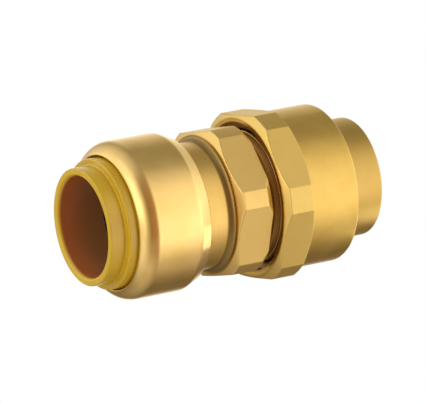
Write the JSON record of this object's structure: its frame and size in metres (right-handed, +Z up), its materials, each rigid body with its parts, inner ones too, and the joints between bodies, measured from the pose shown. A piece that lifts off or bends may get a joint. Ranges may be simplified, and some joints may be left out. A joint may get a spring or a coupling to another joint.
{
  "type": "push fit union coupling",
  "caption": "Straight brass coupling: a push-fit tube socket at one end, and at the other a flat-faced union whose nut draws in a tailpiece with a solder cup.",
  "frame": {"origin": "on the common axis, midway between the release collar's front face and the tailpiece's end face", "axes": "+X along the axis from the push-fit mouth to the soldered end; +Z up, with one flat of the union nut facing -Z"},
  "size_m": [0.0696, 0.0398, 0.037],
  "materials": {
    "collar_plastic": "satin golden acetal",
    "cap_brass": "bright drawn, warm tone",
    "ring_steel": "bright spring stainless",
    "protector_plastic": "moulded",
    "seal_rubber": "greased",
    "body_brass": "satin, forged and turned",
    "gasket_rubber": "matt sheet",
    "nut_brass": "satin, forged and turned",
    "tail_brass": "satin, turned"
  },
  "bodies": {
    "body": {"fitting_body": "body_brass", "retaining_cap": "cap_brass", "seal_protector": "protector_plastic", "seal_ring": "seal_rubber"},
    "grip": {"grab_ring": "ring_steel"},
    "collar": {"release_collar": "collar_plastic"},
    "gasket": {"union_gasket": "gasket_rubber"},
    "nut": {"union_nut": "nut_brass"},
    "tail": {"tailpiece": "tail_brass"}
  },
  "joints": [
    {"name": "grip_spin", "type": "hinge", "parent": "body", "child": "grip", "pos_m": [0, 0, 0], "axis": [1, 0, 0], "continuous": true},
    {"name": "collar_press", "type": "slide", "parent": "grip", "child": "collar", "axis": [1, 0, 0], "range_m": [0, 0.0018], "stiffness_N_per_m": 6000, "deforming": ["grab_ring"]},
    {"name": "union_draw", "type": "slide", "parent": "body", "child": "gasket", "axis": [1, 0, 0], "range_m": [0, 0.0093]},
    {"name": "nut_turn", "type": "hinge", "parent": "gasket", "child": "nut", "pos_m": [0, 0, 0], "axis": [1, 0, 0], "range_deg": [0, 1440]},
    {"name": "tail_swivel", "type": "hinge", "parent": "gasket", "child": "tail", "pos_m": [0, 0, 0], "axis": [1, 0, 0], "continuous": true}
  ],
  "couplings": [
    {"joint": "union_draw", "follows": "nut_turn", "m_per_rad": 0.00036749}
  ]
}
